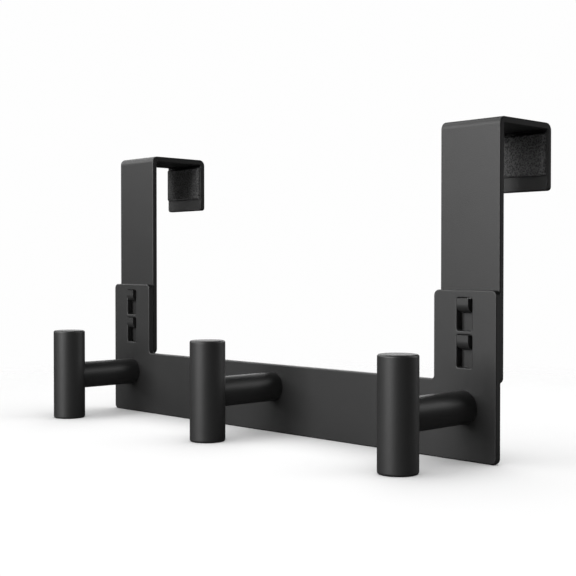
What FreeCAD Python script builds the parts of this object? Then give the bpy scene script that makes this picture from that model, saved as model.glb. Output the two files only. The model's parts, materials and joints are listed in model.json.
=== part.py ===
import FreeCAD, Part
import math
import os
import Sketcher

# Over door hook: a U-shaped rail plate carries three pegs in front.
# Two bent straps hang it on a door, and hold the plate by lanced tongues.
# The row frame stands on the rail's bottom edge: X along the rail, -Y to the front, Z up.

SIZES = {
    # the rail plate and its two upstanding ears
    "rail_length": 320.0,
    "rail_height": 40.0,
    "plate_thickness": 4.0,
    "ear_width": 39.0,
    "ear_top": 86.0,
    "outer_corner": 3.0,
    "inner_corner": 2.0,
    "edge_softness": 0.7,
    # the slots in the ears
    "slot_width": 9.3,
    "slot_height": 16.5,
    "slot_pitch": 18.6,
    "slot_top_margin": 4.0,
    "slot_corner": 1.0,
    # the door straps
    "strap_width": 37.0,
    "strap_thickness": 3.5,
    "strap_clearance": 0.3,
    "strap_top": 172.0,
    "strap_tail_lap": 0.5,
    "strap_corner": 3.0,
    "door_gap": 38.0,
    "lip_height": 35.0,
    "lip_corner": 2.0,
    "bend_inside": 0.5,
    # the tongues lanced out of the straps
    "tongue_side_gap": 1.1,
    "tongue_top_gap": 0.1,
    "tongue_height": 7.2,
    "tongue_proud": 1.5,
    "lance_gap": 0.4,
    "bend_neutral_share": 0.33,
    # the foam pads on the lips
    "pad_thickness": 2.0,
    "pad_height": 22.0,
    "pad_side_inset": 1.0,
    "pad_top_gap": 1.5,
    "pad_softness": 0.8,
    # the pegs
    "peg_end_inset": 20.0,
    "peg_height": 27.0,
    "peg_reach": 50.0,
    "stem_diameter": 17.0,
    "head_diameter": 20.0,
    "head_length": 56.5,
    "head_softness": 1.2,
    "spigot_diameter": 9.0,
    "spigot_gap": 0.05,
    "spigot_length": 9.0,
    # the countersunk screws behind the rail
    "screw_diameter": 5.0,
    "screw_hole_gap": 0.25,
    "screw_thread_gap": 0.05,
    "screw_bite": 12.0,
    "screw_head_diameter": 9.4,
    "screw_sink": 0.2,
    "thread_hole_spare": 2.0,
    "socket_across": 3.0,
    "socket_depth": 1.6,
}


class Size:
    """A length that knows its number and the sheet expression it comes from."""

    def __init__(self, number, text):
        self.number = number
        self.text = text

    def _pair(self, other, sign, swapped=False):
        other = other if isinstance(other, Size) else Size(float(other), repr(float(other)))
        left, right = (other, self) if swapped else (self, other)
        text = "(" + left.text + " " + sign + " " + right.text + ")"
        if sign == "+":
            return Size(left.number + right.number, text)
        if sign == "-":
            return Size(left.number - right.number, text)
        if sign == "*":
            return Size(left.number * right.number, text)
        return Size(left.number / right.number, text)

    def __add__(self, other):
        return self._pair(other, "+")

    def __radd__(self, other):
        return self._pair(other, "+", True)

    def __sub__(self, other):
        return self._pair(other, "-")

    def __rsub__(self, other):
        return self._pair(other, "-", True)

    def __mul__(self, other):
        return self._pair(other, "*")

    def __rmul__(self, other):
        return self._pair(other, "*", True)

    def __truediv__(self, other):
        return self._pair(other, "/")

    def __neg__(self):
        return self._pair(0.0, "-", True)


doc = FreeCAD.newDocument("over_door_hook")


def make_sheet():
    """Write each driving size to its own named cell."""
    sheet = doc.addObject("Spreadsheet::Sheet", "sizes")
    for row, (name, value) in enumerate(SIZES.items(), start=1):
        sheet.set("A" + str(row), name.replace("_", " "))
        sheet.set("B" + str(row), str(value))
        sheet.setAlias("B" + str(row), name)
    doc.recompute()
    return sheet


make_sheet()
size = {name: Size(value, "sizes." + name) for name, value in SIZES.items()}
ZERO = Size(0.0, "0 mm * 1")

# Places that more than one piece reads.
rail_half = size["rail_length"] / 2
ear_centre = rail_half - size["ear_width"] / 2
plate_back = size["plate_thickness"]
strap_front = plate_back + size["strap_clearance"]
strap_back = strap_front + size["strap_thickness"]
lip_front = strap_back + size["door_gap"]
lip_back = lip_front + size["strap_thickness"]
strap_bottom = size["rail_height"] - size["strap_tail_lap"]
lip_bottom = size["strap_top"] - size["lip_height"]
strap_under = size["strap_top"] - size["strap_thickness"]
bend_outside = size["bend_inside"] + size["strap_thickness"]
first_slot_top = size["ear_top"] - size["slot_top_margin"]
slot_tops = [first_slot_top, first_slot_top - size["slot_pitch"]]
tongue_width = size["slot_width"] - 2 * size["tongue_side_gap"]
window_width = tongue_width + 2 * size["lance_gap"]
head_radius = size["head_diameter"] / 2
stem_radius = size["stem_diameter"] / 2
screw_radius = size["screw_diameter"] / 2
peg_spacing = rail_half - size["peg_end_inset"]

# The rail's front face lies where the whole hook's box is centred front to back.
rail_face = (size["peg_reach"] + head_radius - lip_back) / 2

# Each side's and each peg's direction along the rail.
SIDES = {"left": -1, "right": 1}
PEGS = {"left": -1, "middle": 0, "right": 1}


def bind(thing, **properties):
    """Set properties from sizes, and tie each one to the sheet."""
    for name, value in properties.items():
        setattr(thing, name, value.number)
        thing.setExpression(name, value.text)


def place(thing, across, back, up):
    """Put a piece at its place, tied to the sheet."""
    thing.Placement = FreeCAD.Placement(FreeCAD.Vector(across.number, back.number, up.number), FreeCAD.Rotation())
    thing.setExpression("Placement.Base.x", across.text)
    thing.setExpression("Placement.Base.y", back.text)
    thing.setExpression("Placement.Base.z", up.text)


def make_body(name, across, up=ZERO):
    """Start a piece: its own origin lies in the rail's front face."""
    body = doc.addObject("PartDesign::Body", name)
    body.Label = name
    place(body, across, rail_face, up)
    return body


def plane_of(body, role):
    for feature in body.Origin.OriginFeatures:
        if feature.Role == role:
            return feature
    raise RuntimeError("no plane " + role)


def new_sketch(body, name, role, offset=ZERO):
    """Attach a sketch to one of the piece's own planes, moved along its normal."""
    sketch = body.newObject("Sketcher::SketchObject", name)
    sketch.AttachmentSupport = [(plane_of(body, role), "")]
    sketch.MapMode = "FlatFace"
    sketch.AttachmentOffset = FreeCAD.Placement(FreeCAD.Vector(0, 0, offset.number), FreeCAD.Rotation())
    sketch.setExpression("AttachmentOffset.Base.z", offset.text)
    return sketch


def tie_point(sketch, line, end, across, up):
    """Hold one end of a line at a place given by two sizes."""
    for kind, value in (("DistanceX", across), ("DistanceY", up)):
        index = sketch.addConstraint(Sketcher.Constraint(kind, -1, 1, line, end, value.number))
        sketch.setExpression("Constraints[" + str(index) + "]", value.text)


def draw_outline(sketch, points):
    """Draw a closed outline of straight lines, each corner held by its sizes."""
    first = sketch.GeometryCount
    for here, there in zip(points, points[1:] + points[:1]):
        start = FreeCAD.Vector(here[0].number, here[1].number, 0)
        finish = FreeCAD.Vector(there[0].number, there[1].number, 0)
        sketch.addGeometry(Part.LineSegment(start, finish), False)
    count = len(points)
    for number in range(count):
        follower = first + (number + 1) % count
        sketch.addConstraint(Sketcher.Constraint("Coincident", first + number, 2, follower, 1))
        tie_point(sketch, first + number, 1, *points[number])


def draw_box(sketch, low_across, high_across, low_up, high_up):
    corners = [(low_across, low_up), (high_across, low_up), (high_across, high_up), (low_across, high_up)]
    draw_outline(sketch, corners)


def draw_circle(sketch, across, up, radius):
    centre = FreeCAD.Vector(across.number, up.number, 0)
    circle = sketch.addGeometry(Part.Circle(centre, FreeCAD.Vector(0, 0, 1), radius.number), False)
    tie_point(sketch, circle, 3, across, up)
    index = sketch.addConstraint(Sketcher.Constraint("Radius", circle, radius.number))
    sketch.setExpression("Constraints[" + str(index) + "]", radius.text)


def pad(body, name, sketch, length, both_ways=False, reversed_way=False):
    feature = body.newObject("PartDesign::Pad", name)
    feature.Profile = sketch
    bind(feature, Length=length)
    feature.Midplane = both_ways
    feature.Reversed = reversed_way
    doc.recompute()
    return feature


def pocket(body, name, sketch, length, both_ways=False, reversed_way=False):
    """Cut a pocket, and stop if it cut nothing."""
    before = body.Shape.Volume
    feature = body.newObject("PartDesign::Pocket", name)
    feature.Profile = sketch
    bind(feature, Length=length)
    feature.Midplane = both_ways
    feature.Reversed = reversed_way
    doc.recompute()
    if not body.Shape.Volume < before:
        raise RuntimeError(name + " cut nothing")
    return feature


def round_edges(body, name, radius, wanted):
    """Round the edges that the test picks out of the piece as it stands."""
    base = body.Tip
    edges = ["Edge" + str(i) for i, edge in enumerate(base.Shape.Edges, start=1) if wanted(edge)]
    if not edges:
        raise RuntimeError(name + " found no edge")
    feature = body.newObject("PartDesign::Fillet", name)
    feature.Base = (base, edges)
    bind(feature, Radius=radius)
    doc.recompute()
    return feature


def chamfer_edges(body, name, amount, wanted):
    """Bevel the edges that the test picks out, at half a right angle."""
    base = body.Tip
    edges = ["Edge" + str(i) for i, edge in enumerate(base.Shape.Edges, start=1) if wanted(edge)]
    if not edges:
        raise RuntimeError(name + " found no edge")
    feature = body.newObject("PartDesign::Chamfer", name)
    feature.Base = (base, edges)
    bind(feature, Size=amount)
    doc.recompute()
    return feature


NEAR = 0.001


def runs_along(edge, axis):
    """True for a straight edge in line with one axis."""
    if not isinstance(edge.Curve, Part.Line):
        return False
    direction = edge.Curve.Direction
    return abs(abs(direction[axis]) - 1.0) < NEAR


def edge_is_at(edge, axis, place_on_axis):
    """True when the whole edge lies at one place on an axis."""
    box = edge.BoundBox
    low, high = ((box.XMin, box.XMax), (box.YMin, box.YMax), (box.ZMin, box.ZMax))[axis]
    return abs(low - place_on_axis) < NEAR and abs(high - place_on_axis) < NEAR


def is_corner(edge, across, up):
    """True for an edge that runs front to back at one corner of a plate."""
    return runs_along(edge, 1) and edge_is_at(edge, 0, across) and edge_is_at(edge, 2, up)


def is_bend(edge, back, up):
    """True for an edge that runs across at one corner of a side view."""
    return runs_along(edge, 0) and edge_is_at(edge, 1, back) and edge_is_at(edge, 2, up)


def make_rail_plate():
    """One flat plate: a rail with an ear at each end, and two slots in each ear."""
    body = make_body("rail_plate", ZERO)
    outline = new_sketch(body, "rail_outline", "XZ_Plane")
    inner = rail_half - size["ear_width"]
    draw_outline(outline, [
        (-rail_half, ZERO), (rail_half, ZERO), (rail_half, size["ear_top"]), (inner, size["ear_top"]),
        (inner, size["rail_height"]), (-inner, size["rail_height"]), (-inner, size["ear_top"]),
        (-rail_half, size["ear_top"]),
    ])
    pad(body, "rail_sheet", outline, size["plate_thickness"], reversed_way=True)

    slots = new_sketch(body, "slot_outlines", "XZ_Plane")
    half_slot = size["slot_width"] / 2
    for side in SIDES.values():
        centre = side * ear_centre
        for top in slot_tops:
            draw_box(slots, centre - half_slot, centre + half_slot, top - size["slot_height"], top)
    pocket(body, "slots", slots, size["plate_thickness"])

    holes = new_sketch(body, "screw_hole_outlines", "XZ_Plane")
    for way in PEGS.values():
        draw_circle(holes, way * peg_spacing, size["peg_height"], screw_radius + size["screw_hole_gap"])
    pocket(body, "screw_holes", holes, size["plate_thickness"])

    outer_places = [(side * rail_half.number, up) for side in SIDES.values() for up in (0.0, SIZES["ear_top"])]
    outer_places += [(side * inner.number, SIZES["ear_top"]) for side in SIDES.values()]
    round_edges(body, "outer_corners", size["outer_corner"],
                lambda edge: any(is_corner(edge, *spot) for spot in outer_places))
    inner_places = [(side * inner.number, SIZES["rail_height"]) for side in SIDES.values()]
    round_edges(body, "inner_corners", size["inner_corner"],
                lambda edge: any(is_corner(edge, *spot) for spot in inner_places))
    slot_places = [(side * ear_centre.number + half * half_slot.number, up)
                   for side in SIDES.values() for half in SIDES.values()
                   for top in slot_tops for up in (top.number, top.number - SIZES["slot_height"])]
    round_edges(body, "slot_corners", size["slot_corner"],
                lambda edge: any(is_corner(edge, *spot) for spot in slot_places))

    def on_a_sheet_face(edge):
        in_face = edge_is_at(edge, 1, 0.0) or edge_is_at(edge, 1, plate_back.number)
        is_hole = edge.BoundBox.XLength < 2 * SIZES["screw_diameter"] and isinstance(edge.Curve, Part.Circle)
        return in_face and not (is_hole and edge.Length > SIZES["screw_diameter"])

    round_edges(body, "soft_edges", size["edge_softness"], on_a_sheet_face)

    def is_hole_mouth(edge):
        is_ring = isinstance(edge.Curve, Part.Circle) and edge.Length > SIZES["screw_diameter"]
        return is_ring and edge_is_at(edge, 1, plate_back.number)

    countersink = size["screw_head_diameter"] / 2 - screw_radius - size["screw_hole_gap"]
    chamfer_edges(body, "countersinks", countersink, is_hole_mouth)
    return body


def make_door_strap(side, way):
    """One strip bent over the door's top, with two tongues lanced out of its foot."""
    body = make_body(side + "_door_strap", way * ear_centre)
    outline = new_sketch(body, "strip_side_view", "YZ_Plane")
    draw_outline(outline, [
        (strap_front, strap_bottom), (strap_back, strap_bottom), (strap_back, strap_under),
        (lip_front, strap_under), (lip_front, lip_bottom), (lip_back, lip_bottom),
        (lip_back, size["strap_top"]), (strap_front, size["strap_top"]),
    ])
    pad(body, "strip", outline, size["strap_width"], both_ways=True)
    inside = [(strap_back.number, strap_under.number), (lip_front.number, strap_under.number)]
    outside = [(strap_front.number, SIZES["strap_top"]), (lip_back.number, SIZES["strap_top"])]
    round_edges(body, "inside_bends", size["bend_inside"],
                lambda edge: any(is_bend(edge, *spot) for spot in inside))
    round_edges(body, "outside_bends", bend_outside,
                lambda edge: any(is_bend(edge, *spot) for spot in outside))

    half_strap = size["strap_width"] / 2
    tails = [(half * half_strap.number, strap_bottom.number) for half in SIDES.values()]
    round_edges(body, "tail_corners", size["strap_corner"],
                lambda edge: any(is_corner(edge, *spot) for spot in tails))
    tips = [(half * half_strap.number, lip_bottom.number) for half in SIDES.values()]
    round_edges(body, "lip_corners", size["lip_corner"],
                lambda edge: any(is_corner(edge, *spot) for spot in tips))

    def on_a_long_edge(edge):
        at_side = any(edge_is_at(edge, 0, half * half_strap.number) for half in SIDES.values())
        at_end = any(abs(edge.BoundBox.ZMin - low.number) < NEAR for low in (strap_bottom, lip_bottom))
        return at_side or (at_end and not is_front_to_back(edge))

    round_edges(body, "soft_edges", size["edge_softness"], on_a_long_edge)

    windows = new_sketch(body, "window_outlines", "XZ_Plane")
    for top in slot_tops:
        low, high = window_span(top)
        draw_box(windows, -window_width / 2, window_width / 2, low, high)
    pocket(body, "windows", windows, 2 * lip_back, both_ways=True)

    tongues = new_sketch(body, "tongue_side_views", "YZ_Plane")
    for top in slot_tops:
        draw_outline(tongues, tongue_side_view(top))
    pad(body, "tongues", tongues, tongue_width, both_ways=True)

    hollow_bends, full_bends = tongue_bends()
    round_edges(body, "tongue_inside_bends", size["bend_inside"],
                lambda edge: any(is_bend(edge, *spot) for spot in hollow_bends) and is_tongue_wide(edge))
    round_edges(body, "tongue_outside_bends", bend_outside,
                lambda edge: any(is_bend(edge, *spot) for spot in full_bends) and is_tongue_wide(edge))
    return body


def is_front_to_back(edge):
    return runs_along(edge, 1)


def is_tongue_wide(edge):
    return edge.BoundBox.XLength < window_width.number + NEAR


def tongue_levels(slot_top):
    """The tongue's top, and the underside and upper side of its root."""
    top = slot_top - size["tongue_top_gap"]
    under = top - size["tongue_height"]
    return top, under, under + size["strap_thickness"]


def window_span(slot_top):
    """The window that the tongue leaves in the strap: as tall as the tongue laid flat."""
    top, under = tongue_levels(slot_top)[:2]
    neutral_radius = size["bend_inside"] + size["strap_thickness"] * size["bend_neutral_share"]
    two_quarter_turns = neutral_radius * math.pi
    level_run = strap_front + size["tongue_proud"] - size["bend_inside"] - bend_outside
    rise = top - under - bend_outside
    low = under - size["bend_inside"]
    return low, low + two_quarter_turns + level_run + rise


def tongue_side_view(slot_top):
    """A lanced tongue seen from the side: root in the strap, step out, free end up."""
    top, under, upper = tongue_levels(slot_top)
    face = -size["tongue_proud"]
    behind = face + size["strap_thickness"]
    low = under - size["bend_inside"] - size["strap_thickness"] / 2
    return [
        (strap_back, low), (strap_front, low), (strap_front, under), (face, under),
        (face, top), (behind, top), (behind, upper), (strap_back, upper),
    ]


def tongue_bends():
    """The hollow and the full corners of both tongues, as places in the side view."""
    hollow, full = [], []
    for slot_top in slot_tops:
        top, under, upper = (level.number for level in tongue_levels(slot_top))
        face = -SIZES["tongue_proud"]
        hollow += [(strap_front.number, under), (face + SIZES["strap_thickness"], upper)]
        full += [(face, under), (strap_back.number, upper)]
    return hollow, full


def make_lip_pad(side, way):
    """A foam pad glued to the inner face of the lip."""
    body = make_body(side + "_lip_pad", way * ear_centre)
    half = size["strap_width"] / 2 - size["pad_side_inset"]
    top = strap_under - size["pad_top_gap"]
    outline = new_sketch(body, "pad_outline", "XZ_Plane", -lip_front)
    draw_box(outline, -half, half, top - size["pad_height"], top)
    pad(body, "pad_block", outline, size["pad_thickness"])
    free_face = (lip_front - size["pad_thickness"]).number
    round_edges(body, "soft_rim", size["pad_softness"], lambda edge: edge_is_at(edge, 1, free_face))
    return body


def make_peg_head(name, way):
    """An upright round bar with softened ends and a blind hole for the stem's spigot."""
    body = make_body(name + "_peg_head", way * peg_spacing)
    outline = new_sketch(body, "bar_outline", "XY_Plane")
    draw_circle(outline, ZERO, -size["peg_reach"], head_radius)
    pad(body, "bar", outline, size["head_length"])
    round_edges(body, "soft_ends", size["head_softness"],
                lambda edge: isinstance(edge.Curve, Part.Circle))
    hole = new_sketch(body, "spigot_hole_outline", "XZ_Plane", size["peg_reach"])
    draw_circle(hole, ZERO, size["peg_height"], size["spigot_diameter"] / 2 + size["spigot_gap"])
    pocket(body, "spigot_hole", hole, head_radius)
    return body


def make_peg_stem(name, way):
    """A round bar, coped to sit on the head, with a spigot in front and a tapped hole behind."""
    body = make_body(name + "_peg_stem", way * peg_spacing)
    outline = new_sketch(body, "stem_outline", "XZ_Plane")
    draw_circle(outline, ZERO, size["peg_height"], stem_radius)
    pad(body, "stem", outline, size["peg_reach"])
    cope = new_sketch(body, "cope_outline", "XY_Plane")
    draw_circle(cope, ZERO, -size["peg_reach"], head_radius)
    pocket(body, "cope", cope, 2 * (size["peg_height"] + size["stem_diameter"]), both_ways=True)
    spigot = new_sketch(body, "spigot_outline", "XZ_Plane", size["peg_reach"] - head_radius + size["spigot_length"])
    draw_circle(spigot, ZERO, size["peg_height"], size["spigot_diameter"] / 2)
    overlap = size["spigot_length"] + head_radius / 2
    pad(body, "spigot", spigot, overlap, reversed_way=True)
    thread = new_sketch(body, "tapped_hole_outline", "XZ_Plane")
    draw_circle(thread, ZERO, size["peg_height"], screw_radius + size["screw_thread_gap"])
    pocket(body, "tapped_hole", thread, size["screw_bite"] + size["thread_hole_spare"], reversed_way=True)
    return body


def make_screw(name, way):
    """A countersunk screw from behind, with a six-sided socket."""
    body = make_body(name + "_screw", way * peg_spacing)
    head_face = plate_back - size["screw_sink"]
    head_reach = size["screw_head_diameter"] / 2 - size["screw_hole_gap"]
    cone_start = head_face - (head_reach - screw_radius)
    outline = new_sketch(body, "screw_half_view", "YZ_Plane")
    centre = size["peg_height"]
    draw_outline(outline, [
        (-size["screw_bite"], centre), (head_face, centre), (head_face, centre + head_reach),
        (cone_start, centre + screw_radius), (-size["screw_bite"], centre + screw_radius),
    ])
    turned = body.newObject("PartDesign::Revolution", "turned_screw")
    turned.Profile = outline
    turned.ReferenceAxis = (outline, ["Edge1"])
    turned.Angle = 360.0
    doc.recompute()
    socket = new_sketch(body, "socket_outline", "XZ_Plane", -head_face)
    reach = size["socket_across"] / 3 ** 0.5
    draw_outline(socket, [
        (reach, centre), (reach / 2, centre + size["socket_across"] / 2),
        (-reach / 2, centre + size["socket_across"] / 2), (-reach, centre),
        (-reach / 2, centre - size["socket_across"] / 2), (reach / 2, centre - size["socket_across"] / 2),
    ])
    pocket(body, "socket", socket, size["socket_depth"], reversed_way=True)
    return body


def make_screw_group():
    """The three like screws share one node."""
    screws = [make_screw(name, way) for name, way in PEGS.items()]
    group = doc.addObject("Part::Compound", "peg_screws")
    group.Label = "peg_screws"
    group.Links = screws
    doc.recompute()
    return group


pieces = [make_rail_plate()]
for side, way in SIDES.items():
    pieces.append(make_door_strap(side, way))
    pieces.append(make_lip_pad(side, way))
for name, way in PEGS.items():
    pieces.append(make_peg_head(name, way))
    pieces.append(make_peg_stem(name, way))
pieces.append(make_screw_group())
doc.recompute()

for thing in doc.Objects:
    if "Invalid" in thing.State or "Error" in thing.State:
        raise RuntimeError(thing.Name + " failed to build")

os.makedirs("parts", exist_ok=True)
for piece in pieces:
    shape = piece.Shape
    if shape.isNull() or not shape.isValid():
        raise RuntimeError(piece.Label + " has no valid shape")
    shape.exportStep("parts/" + piece.Label + ".step")
    box = shape.BoundBox
    print(piece.Label, "solids", len(shape.Solids), "volume %.1f" % shape.Volume,
          "x %.2f..%.2f y %.2f..%.2f z %.2f..%.2f" % (box.XMin, box.XMax, box.YMin, box.YMax, box.ZMin, box.ZMax))
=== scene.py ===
# %% [markdown]
# This lesson dresses an over door hook: a flat steel rail with two upstanding ears, three pegs in front,
# and two bent straps that hang it over a door. Its whole metal is matte black powder coat, and each strap's
# lip carries a thin black foam pad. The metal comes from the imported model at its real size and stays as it
# is. The lesson gives it a finish, models the soft pads, and sets up a small photo studio. All lengths are in
# metres, as in Blender, and a name that ends in _MM holds millimetres.

import json
import math

import bmesh
import bpy
from mathutils import Euler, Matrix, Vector, noise


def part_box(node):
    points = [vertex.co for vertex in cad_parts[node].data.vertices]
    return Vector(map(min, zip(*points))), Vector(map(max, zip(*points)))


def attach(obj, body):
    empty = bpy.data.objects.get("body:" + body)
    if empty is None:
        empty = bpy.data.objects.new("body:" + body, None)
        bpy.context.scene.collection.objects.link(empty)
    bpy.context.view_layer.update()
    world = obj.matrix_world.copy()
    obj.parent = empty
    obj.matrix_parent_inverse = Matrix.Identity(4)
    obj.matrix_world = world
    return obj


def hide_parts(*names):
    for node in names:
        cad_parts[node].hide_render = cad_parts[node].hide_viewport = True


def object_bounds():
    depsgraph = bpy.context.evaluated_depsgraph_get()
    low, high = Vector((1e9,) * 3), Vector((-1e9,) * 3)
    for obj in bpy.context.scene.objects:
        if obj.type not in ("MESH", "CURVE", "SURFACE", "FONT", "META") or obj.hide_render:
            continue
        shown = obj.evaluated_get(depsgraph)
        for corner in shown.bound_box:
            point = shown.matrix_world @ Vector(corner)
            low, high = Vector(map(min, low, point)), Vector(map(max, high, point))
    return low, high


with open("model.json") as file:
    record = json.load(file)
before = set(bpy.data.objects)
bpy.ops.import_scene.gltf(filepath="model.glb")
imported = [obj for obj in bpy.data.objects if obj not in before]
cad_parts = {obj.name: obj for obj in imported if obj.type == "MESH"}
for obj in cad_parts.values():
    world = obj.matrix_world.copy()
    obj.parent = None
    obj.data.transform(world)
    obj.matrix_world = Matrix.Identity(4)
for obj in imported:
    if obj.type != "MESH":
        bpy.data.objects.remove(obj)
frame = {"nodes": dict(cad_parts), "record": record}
nodes = frame["nodes"]
cad_low, cad_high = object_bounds()
MM = 0.001


def in_mm(lengths):
    return [round(length / MM, 1) for length in lengths]


print("metal from the model:", ", ".join(sorted(nodes)))
print("box in mm:", in_mm(cad_high - cad_low))

# %% [markdown]
# A finish is a net of shader nodes. Written node by node it is hard to read, so this class wraps a node's
# output and lets plain Python sums add the Math nodes, also where the number comes first, as in 1 - mask.
# Such sums are for grey values only. Colours and vectors go through Mix and Vector Math nodes, because a Math
# node would turn a colour grey.

# %% A wire that can be added and multiplied
class Wire:
    """The output of one node, on its way to the next."""

    def __init__(self, bench, socket):
        self.bench = bench
        self.socket = socket

    def _sum(self, operation, first, second):
        return self.bench.add("ShaderNodeMath", {"operation": operation}, {0: first, 1: second})

    def __add__(self, other):
        return self._sum("ADD", self, other)

    def __radd__(self, other):
        return self._sum("ADD", other, self)

    def __sub__(self, other):
        return self._sum("SUBTRACT", self, other)

    def __rsub__(self, other):
        return self._sum("SUBTRACT", other, self)

    def __mul__(self, other):
        return self._sum("MULTIPLY", self, other)

    def __rmul__(self, other):
        return self._sum("MULTIPLY", other, self)


# %% [markdown]
# Every other node comes from one method. It takes the kind of node, then its settings, then the values or
# wires of its sockets. The settings come first because one of them can change which sockets a node shows. A
# Mix node has the same socket names for numbers as for colours, so its colour sockets are found by number.

# %% The bench where nodes are added
MIX_AMOUNT, MIX_FIRST, MIX_SECOND, MIX_RESULT = 0, 6, 7, 2


class Bench:
    """The workbench of one net of nodes, which belongs to a material or to the world."""

    def __init__(self, owner):
        owner.use_nodes = True
        self.tree = owner.node_tree
        self.tree.nodes.clear()

    def add(self, kind, settings=None, sockets=None, output=0):
        """Add a node and give back its output, if it has one."""
        node = self.tree.nodes.new(kind)
        for name, value in (settings or {}).items():
            setattr(node, name, value)
        for name, value in (sockets or {}).items():
            if isinstance(value, Wire):
                self.tree.links.new(value.socket, node.inputs[name])
            else:
                node.inputs[name].default_value = value
        return Wire(self, node.outputs[output]) if node.outputs else None

    def blend(self, amount, first, second):
        """Mix two colours, which may be plain or on a wire."""
        return self.add("ShaderNodeMix", {"data_type": "RGBA"},
                        {MIX_AMOUNT: amount, MIX_FIRST: first, MIX_SECOND: second}, MIX_RESULT)


# %% [markdown]
# Each finish here is grey and has some grain, so three helpers are enough: a grey, a noise and a bump. The
# grain could come from a picture wrapped round the piece, but the piece would have to be unrolled first, and
# close up the picture would blur. A noise node fills space instead, on the object's own scale in metres. So
# the grain has its real size on every piece and runs round the edges with no seam.

# %% Helpers for grain
def grey(level):
    return (level, level, level, 1.0)


def own_place(bench):
    """Where a point lies on the object itself, in metres."""
    return bench.add("ShaderNodeTexCoord", output="Object")


def soft_noise(bench, grain_mm, detail=2.0, roughness=0.5):
    """Noise whose grains are about the given size."""
    return bench.add("ShaderNodeTexNoise", sockets={
        "Vector": own_place(bench), "Scale": 1.0 / (grain_mm * MM), "Detail": detail, "Roughness": roughness})


def bump(bench, height, distance_mm, strength=1.0, over=None):
    """Dents that are as deep as the distance, laid over another bump if one is given."""
    sockets = {"Height": height, "Distance": distance_mm * MM, "Strength": strength}
    if over is not None:
        sockets["Normal"] = over
    return bench.add("ShaderNodeBump", sockets=sockets)


# %% [markdown]
# Powder coat is a dry paint: grains of plastic cling to the steel and melt together in an oven. The film is
# not quite level. It keeps a slow waviness called orange peel, about a millimetre or two across, and on a
# matte coat a much finer grit that takes the shine off. Both could be modelled, but they are only hundredths
# of a millimetre high and never change an outline, so a bump is enough. The tone drifts a little too, because
# the film is thicker in some places than in others.

# %% The powder coat
COAT_GREY = 0.014
COAT_DARKEST = 0.85
COAT_LIGHTEST = 1.2
COAT_DRIFT_MM = 26.0
COAT_DRIFT_SHARE = 0.6
COAT_PEEL_MM = 1.6
COAT_PEEL_HEIGHT_MM = 0.030
COAT_PEEL_STRENGTH = 0.35
COAT_GRIT_MM = 0.5
COAT_GRIT_HEIGHT_MM = 0.060
COAT_GRIT_STRENGTH = 0.9
COAT_ROUGHNESS = 0.40
ROUGHER_BY_GRIT = 0.12
ROUGHER_BY_DRIFT = 0.04
PLASTIC_IOR = 1.5


def make_powder_coat():
    finish = bpy.data.materials.new("matte_black_powder_coat")
    bench = Bench(finish)
    peel = soft_noise(bench, COAT_PEEL_MM)
    grit = soft_noise(bench, COAT_GRIT_MM, detail=3.0, roughness=0.6)
    drift = soft_noise(bench, COAT_DRIFT_MM)
    cloud = drift * COAT_DRIFT_SHARE + grit * (1.0 - COAT_DRIFT_SHARE)
    tone = bench.blend(cloud, grey(COAT_GREY * COAT_DARKEST), grey(COAT_GREY * COAT_LIGHTEST))
    roughness = COAT_ROUGHNESS + grit * ROUGHER_BY_GRIT + drift * ROUGHER_BY_DRIFT
    waves = bump(bench, peel, COAT_PEEL_HEIGHT_MM, COAT_PEEL_STRENGTH)
    skin = bump(bench, grit, COAT_GRIT_HEIGHT_MM, COAT_GRIT_STRENGTH, over=waves)
    shader = bench.add("ShaderNodeBsdfPrincipled", sockets={
        "Base Color": tone, "Roughness": roughness, "Normal": skin, "IOR": PLASTIC_IOR})
    bench.add("ShaderNodeOutputMaterial", sockets={"Surface": shader})
    return finish


powder_coat = make_powder_coat()
print("powder coat: peel", COAT_PEEL_MM, "mm, grit", COAT_GRIT_MM, "mm")

# %% [markdown]
# The screws behind the rail are blackened steel: a thin oxide leaves the metal dark, yet shinier than the
# coat. Turning leaves fine rings, and a Wave node could draw them about a screw's own line. But the three
# screws are one piece here and would need three such lines, so a fine even grain does the job instead.

# %% The screws' steel
STEEL_GRAIN_MM = 0.12
STEEL_DARK = 0.02
STEEL_LIGHT = 0.045
STEEL_METALLIC = 0.85
STEEL_ROUGHNESS = 0.32
ROUGHER_BY_GRAIN = 0.15
STEEL_GRAIN_HEIGHT_MM = 0.006


def make_black_steel():
    finish = bpy.data.materials.new("blackened_steel")
    bench = Bench(finish)
    grain = soft_noise(bench, STEEL_GRAIN_MM, detail=4.0)
    tone = bench.blend(grain, grey(STEEL_DARK), grey(STEEL_LIGHT))
    roughness = STEEL_ROUGHNESS + grain * ROUGHER_BY_GRAIN
    skin = bump(bench, grain, STEEL_GRAIN_HEIGHT_MM)
    shader = bench.add("ShaderNodeBsdfPrincipled", sockets={
        "Base Color": tone, "Roughness": roughness, "Metallic": STEEL_METALLIC, "Normal": skin})
    bench.add("ShaderNodeOutputMaterial", sockets={"Surface": shader})
    return finish


black_steel = make_black_steel()
print("screws: grain", STEEL_GRAIN_MM, "mm")

# %% [markdown]
# The pad is black foam, cut from a sheet. Its skin shows the cells as a crowd of pits, a little under a
# millimetre wide, and the photograph shows them as a speckle of dark and less dark spots. Modelled pits would
# take far more faces than they are worth. The distance to the nearest point of a scatter has the same crowded
# look, and a Voronoi node gives it. Noise of the same grain breaks up its order. Both colour the skin. The
# pits are painted darker, as painted shade in the cells, and the noise adds a random tone. Both dent the skin
# too, so that the speckle turns with the light.

# %% The foam
FOAM_CELL_MM = 0.9
FOAM_DARK = 0.004
FOAM_LIGHT = 0.120
PIT_SHADE_SHARE = 0.5
SPECKLE_START = 0.30
SPECKLE_CONTRAST = 2.8
DENT_PIT_SHARE = 0.6
FOAM_DENT_MM = 0.20
FOAM_ROUGHNESS = 0.58
ROUGHER_BY_DUST = 0.2


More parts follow.
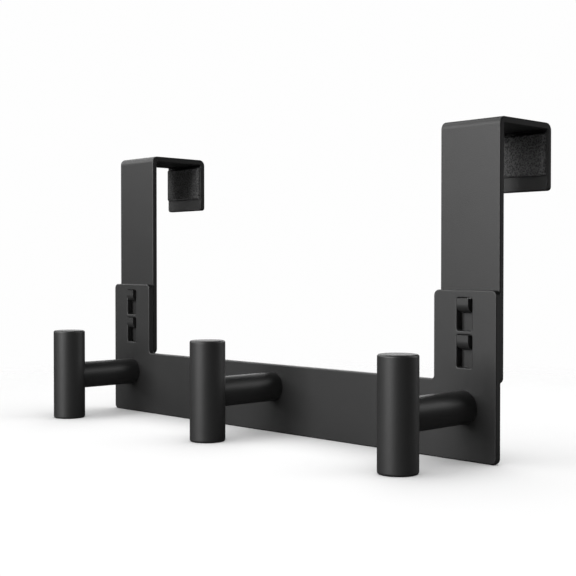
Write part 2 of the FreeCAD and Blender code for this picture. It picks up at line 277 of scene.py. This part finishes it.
def make_foam():
    finish = bpy.data.materials.new("closed_cell_foam")
    bench = Bench(finish)
    pits = bench.add("ShaderNodeTexVoronoi", {"feature": "F1"},
                     {"Vector": own_place(bench), "Scale": 1.0 / (FOAM_CELL_MM * MM)})
    dust = soft_noise(bench, FOAM_CELL_MM, detail=4.0)
    # painted shade: the pits are coloured darker as shade in the cells, and the noise adds a random tone
    pit_shade_and_speckle = pits * PIT_SHADE_SHARE + dust * (1.0 - PIT_SHADE_SHARE)
    tone = bench.blend((pit_shade_and_speckle - SPECKLE_START) * SPECKLE_CONTRAST, grey(FOAM_DARK), grey(FOAM_LIGHT))
    dents = pits * DENT_PIT_SHARE + dust * (1.0 - DENT_PIT_SHARE)
    skin = bump(bench, dents, FOAM_DENT_MM)
    roughness = FOAM_ROUGHNESS + dust * ROUGHER_BY_DUST
    shader = bench.add("ShaderNodeBsdfPrincipled", sockets={
        "Base Color": tone, "Roughness": roughness, "Normal": skin, "IOR": PLASTIC_IOR})
    bench.add("ShaderNodeOutputMaterial", sockets={"Surface": shader})
    return finish


foam = make_foam()
print("foam: cells", FOAM_CELL_MM, "mm")

# %% [markdown]
# The metal keeps the model's own meshes, because its shapes are right. A finish could be given face by face,
# but each piece was coated whole, so all faces share one slot and one finish. The record says which finish
# each piece wears. The plain pads get the foam too, until a modelled pad takes their place in the next step.

# %% Put the finishes on the pieces
FINISH_OF_SLOT = {"powder_coat": powder_coat, "black_screw": black_steel, "lip_foam": foam}
slot_of_node = {row["node"]: row["material_slot"] for row in frame["record"]["subparts"]}


def dress(piece, finish):
    """Give all faces of a piece one finish."""
    piece.data.materials.clear()
    piece.data.materials.append(finish)
    for face in piece.data.polygons:
        face.material_index = 0


for name, piece in nodes.items():
    dress(piece, FINISH_OF_SLOT[slot_of_node[name]])
    print(name, "wears", slot_of_node[name])

# %% [markdown]
# A foam pad is a thin soft slab. Its cut edges round over, its face is a little crowned where the glue pulls
# the rim down, and no stretch of it is quite flat. A bevelled box would have the round rim but a dead flat
# face, and cloth simulation would puff it up like a cushion. So the form is worked out: each point of the
# face stands off the lip by a height that falls to almost nothing at the rim.

# %% How far the foam stands off the lip
PAD_RIM_MM = 1.1
PAD_CROWN_MM = 0.12
PAD_WAVE_MM = 0.05
PAD_WAVES_PER_METRE = 220.0
PAD_THINNEST_MM = 0.02


def rim_lift(distance, rim):
    """Share of the full height at a distance from the pad's edge: a quarter circle, then flat."""
    if distance >= rim:
        return 1.0
    return math.sqrt(max(0.0, 1.0 - (1.0 - distance / rim) ** 2))


def stand_off(across, up, size, spot):
    """The foam's height at a spot. Across and up say where it is, from 0 at one edge to 1 at the other."""
    side_lift = rim_lift(min(across, 1 - across) * size.x, PAD_RIM_MM * MM)
    end_lift = rim_lift(min(up, 1 - up) * size.z, PAD_RIM_MM * MM)
    crown = PAD_CROWN_MM * (1 - math.sin(math.pi * across) * math.sin(math.pi * up))
    wave = PAD_WAVE_MM * (0.5 + 0.5 * noise.noise(spot * PAD_WAVES_PER_METRE))
    height = side_lift * end_lift * (size.y - (crown + wave) * MM)
    return max(height, PAD_THINNEST_MM * MM)


print("pad: rim rounded by", PAD_RIM_MM, "mm, face crowned by", PAD_CROWN_MM, "mm")

# %% [markdown]
# The pad's mesh is a closed form: a front sheet of points that stands off, a flat back sheet on the lip, and
# a strip of faces that joins their rims. Evenly spaced points would need to be very many to follow the round
# rim. These crowd near the edges, where the form turns quickly, so few are spent on the flat middle.

# %% The mesh of a foam pad
PAD_COLUMNS = 72
PAD_ROWS = 44


def eased(step, count):
    """Places from 0 to 1 that crowd near both ends."""
    return 0.5 - 0.5 * math.cos(math.pi * step / count)


def rim_points(columns, rows):
    """The numbers of a sheet's outer points, once round it."""
    per_row = columns + 1
    bottom = list(range(per_row))
    right = [row * per_row + columns for row in range(1, rows + 1)]
    top = [rows * per_row + column for column in range(columns - 1, -1, -1)]
    left = [row * per_row for row in range(rows - 1, 0, -1)]
    return bottom + right + top + left


def pad_mesh(low, high):
    """The mesh of one pad, in the box from low to high. Its back is the box's far side."""
    mesh = bmesh.new()
    size = high - low
    front, back = [], []
    for row in range(PAD_ROWS + 1):
        up = eased(row, PAD_ROWS)
        for column in range(PAD_COLUMNS + 1):
            across = eased(column, PAD_COLUMNS)
            x, z = low.x + across * size.x, low.z + up * size.z
            height = stand_off(across, up, size, Vector((x, 0.0, z)))
            front.append(mesh.verts.new((x, high.y - height, z)))
            back.append(mesh.verts.new((x, high.y, z)))
    per_row = PAD_COLUMNS + 1
    for row in range(PAD_ROWS):
        for column in range(PAD_COLUMNS):
            corner = row * per_row + column
            square = (corner, corner + 1, corner + 1 + per_row, corner + per_row)
            mesh.faces.new([front[i] for i in square])
            mesh.faces.new([back[i] for i in reversed(square)])
    rim = rim_points(PAD_COLUMNS, PAD_ROWS)
    for here, there in zip(rim, rim[1:] + rim[:1]):
        mesh.faces.new((front[there], front[here], back[here], back[there]))
    mesh.normal_update()
    return mesh


print("pad:", (PAD_COLUMNS + 1) * (PAD_ROWS + 1), "points on each sheet")

# %% [markdown]
# Each pad is glued where its plain block lies in the model, so it is built in that block's own box and takes
# its place. The block could be reshaped instead, but the model's meshes stay as they are. The pad then wears
# the foam and rides on the hook, and its plain block is hidden.

# %% Put the foam pads in place
def make_pad(node):
    """Build one pad in the place that its plain block holds."""
    mesh = pad_mesh(*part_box(node))
    data = bpy.data.meshes.new(node + "_foam")
    mesh.to_mesh(data)
    mesh.free()
    for face in data.polygons:
        face.use_smooth = True
    pad = bpy.data.objects.new(node + "_foam", data)
    bpy.context.scene.collection.objects.link(pad)
    dress(pad, foam)
    print(pad.name, "faces", len(data.polygons), "size in mm", in_mm(pad.dimensions))
    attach(pad, "root")
    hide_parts(node)
    return pad


left_pad, right_pad = (make_pad(node) for node in ("left_lip_pad", "right_lip_pad"))

# %% [markdown]
# The hook stands on a white table in front of nothing, as in a shop's picture. Such pictures are often taken
# on a curved sheet of paper, but seen this low its curve would show as a grey band. So the table is one large
# white sheet that turns to air away from the hook, and no line shows where it ends. Only the soft shadows
# under the rail and the pegs show where it lies. It is left out of what the metal mirrors, because from below
# it would turn the black coat grey.

# %% The table
TABLE_REACH = 4.0
TABLE_SOLID_TO = 0.24
TABLE_GONE_AT = 0.55
TABLE_SHADE_MM = 90.0
TABLE_DARK = 0.86
TABLE_LIGHT = 0.88
TABLE_ROUGHNESS = 0.75
TABLE_SPECULAR = 0.2


def make_white_table():
    finish = bpy.data.materials.new("white_table")
    bench = Bench(finish)
    tone = bench.blend(soft_noise(bench, TABLE_SHADE_MM), grey(TABLE_DARK), grey(TABLE_LIGHT))
    white = bench.add("ShaderNodeBsdfPrincipled", sockets={
        "Base Color": tone, "Roughness": TABLE_ROUGHNESS, "Specular IOR Level": TABLE_SPECULAR})
    place = bench.add("ShaderNodeNewGeometry", output="Position")
    from_middle = bench.add("ShaderNodeVectorMath", {"operation": "LENGTH"}, {0: place}, output="Value")
    fade = bench.add("ShaderNodeMapRange", {"interpolation_type": "SMOOTHSTEP"},
                     {"Value": from_middle, "From Min": TABLE_SOLID_TO, "From Max": TABLE_GONE_AT})
    air = bench.add("ShaderNodeBsdfTransparent")
    surface = bench.add("ShaderNodeMixShader", sockets={0: fade, 1: white, 2: air})
    bench.add("ShaderNodeOutputMaterial", sockets={"Surface": surface})
    return finish


def lay_table():
    data = bpy.data.meshes.new("table")
    corners = [(x * TABLE_REACH, y * TABLE_REACH, cad_low.z) for x, y in ((-1, -1), (1, -1), (1, 1), (-1, 1))]
    data.from_pydata(corners, [], [(0, 1, 2, 3)])
    data.materials.append(make_white_table())
    table = bpy.data.objects.new("table", data)
    bpy.context.scene.collection.objects.link(table)
    table.visible_glossy = False
    return table


table = lay_table()
print("table:", 2 * TABLE_REACH, "m wide, gone at", TABLE_GONE_AT, "m from the middle")

# %% [markdown]
# On a black coat nearly all light is mirrored, so each lamp is seen as a soft patch, and the photograph tells
# where the lamps stood. The key is a wide, tall soft box in front: it makes the light stripe on the round
# heads. The fill on the left is what the flat faces mirror. The rim light, high behind on the right, gives
# the stems their stripe, and a weak side lamp below it lifts the plates' cut edges that face right. An edge
# lamp high on the left and a long panel behind draw the thin light lines along the top edges. A narrow strip
# behind draws the faint line down the right edge of each head.
#
# One set of lamps for everything would burn out the white table before the black metal showed its form. So
# each lamp is linked to the pieces that it lights, and the table has a lamp of its own. The rim lights the
# pegs alone, the side lamp all but the pegs, and the strip only the heads. The fill leaves out the left pad,
# as a photographer does with a black card, because the photograph shows it darker than the right one.

# %% Lamps
KEY = {"place": (-0.12, -1.40, 0.60), "wide": 1.00, "tall": 1.15, "watts": 32.0}
FILL = {"place": (-1.30, -0.80, 0.88), "wide": 0.9, "tall": 0.9, "watts": 9.8}
RIM = {"place": (0.92, 0.88, 0.80), "wide": 0.60, "tall": 0.55, "watts": 4.5}
SIDE = {"place": (1.00, 1.05, 0.16), "wide": 0.7, "tall": 0.5, "watts": 1.0}
EDGE = {"place": (-0.92, 0.15, 1.05), "wide": 0.7, "tall": 0.7, "watts": 5.0}
BACK = {"place": (-0.70, 1.15, 0.50), "wide": 1.7, "tall": 0.55, "watts": 8.0}
STRIP = {"place": (0.62, 1.15, 0.34), "wide": 0.16, "tall": 0.40, "watts": 3.0}
TABLE_LAMP = {"place": (0.0, 0.0, 1.0), "wide": 2.2, "tall": 2.2, "watts": 31.0}


def hang_lamp(name, lit, place, wide, tall, watts):
    """A soft box that points at the middle of the hook and lights only the given pieces."""
    data = bpy.data.lights.new(name, "AREA")
    data.shape = "RECTANGLE"
    data.size = wide
    data.size_y = tall
    data.energy = watts
    lamp = bpy.data.objects.new(name, data)
    bpy.context.scene.collection.objects.link(lamp)
    lamp.location = place
    middle = (cad_low + cad_high) / 2
    lamp.rotation_euler = (middle - lamp.location).to_track_quat("-Z", "Y").to_euler()
    lamp.visible_camera = False
    group = bpy.data.collections.new(name + "_lights_these")
    for piece in lit:
        group.objects.link(piece)
    lamp.light_linking.receiver_collection = group
    print(name, "lights", len(lit), "pieces with", watts, "W")


hook = list(nodes.values()) + [left_pad, right_pad]
pegs = [piece for name, piece in nodes.items() if "peg" in name]
peg_heads = [piece for name, piece in nodes.items() if name.endswith("_peg_head")]
hang_lamp("key", hook, **KEY)
hang_lamp("fill", [piece for piece in hook if piece is not left_pad], **FILL)
hang_lamp("rim", pegs, **RIM)
hang_lamp("side", [piece for piece in hook if piece not in pegs], **SIDE)
hang_lamp("edge", hook, **EDGE)
hang_lamp("back", hook, **BACK)
hang_lamp("strip", peg_heads, **STRIP)
hang_lamp("table_lamp", [table], **TABLE_LAMP)

# %% [markdown]
# The air round the hook has to look white, as in the picture, and yet a white world would light the black
# metal grey. A white wall behind would do, but it would show its edge from other sides. The world's strength
# is switched instead: rays that come straight from the camera find white air, and all others find only a
# trace of it. The Standard view keeps that white as it is, where a film-like view would dim it.

# %% The air
AIR_SEEN = 0.99
AIR_FELT = 0.015


def fill_air():
    world = bpy.data.worlds.new("white_air")
    bench = Bench(world)
    seen = bench.add("ShaderNodeLightPath", output="Is Camera Ray")
    strength = bench.add("ShaderNodeMapRange",
                         sockets={"Value": seen, "To Min": AIR_FELT, "To Max": AIR_SEEN})
    air = bench.add("ShaderNodeBackground", sockets={"Color": grey(1.0), "Strength": strength})
    bench.add("ShaderNodeOutputWorld", sockets={"Surface": air})
    return world


bpy.context.scene.world = fill_air()
bpy.context.scene.view_settings.view_transform = "Standard"
print("air: seen", AIR_SEEN, "felt", AIR_FELT)

# %% [markdown]
# The camera stands low and to the right, turned by 46 degrees, with a long lens. Its place could be found by
# eye, but a small error in the turn spoils every slanting line. So it was found by laying the model's corners
# over the picture's, and it is given by the point that it aims at, its turn, its tilt and its distance.

# %% Camera
LENS_MM = 70.49
SENSOR_MM = 36.0
AZIMUTH = 46.13
PITCH = -1.013
DISTANCE = 0.6801
AIM_BEHIND_RAIL_FACE = 0.020
AIM_HEIGHT = 0.085
AIM_RIGHT = 0.00533
AIM_UP = 0.00007
NEAREST_SEEN = 0.01
FARTHEST_SEEN = 200.0


def stand_camera():
    data = bpy.data.cameras.new("camera")
    data.lens = LENS_MM
    data.sensor_width = SENSOR_MM
    data.clip_start = NEAREST_SEEN
    data.clip_end = FARTHEST_SEEN
    camera = bpy.data.objects.new("camera", data)
    bpy.context.scene.collection.objects.link(camera)
    turn = Euler((math.radians(90 + PITCH), 0.0, math.radians(AZIMUTH)))
    right, up, back = (turn.to_matrix() @ Vector(axis) for axis in ((1, 0, 0), (0, 1, 0), (0, 0, 1)))
    rail_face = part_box("rail_plate")[0].y
    aim = Vector((0.0, rail_face + AIM_BEHIND_RAIL_FACE, AIM_HEIGHT))
    camera.rotation_euler = turn
    camera.location = aim + back * DISTANCE - right * AIM_RIGHT - up * AIM_UP
    return camera


camera = stand_camera()
bpy.context.scene.camera = camera
print("camera at", in_mm(camera.location), "mm")
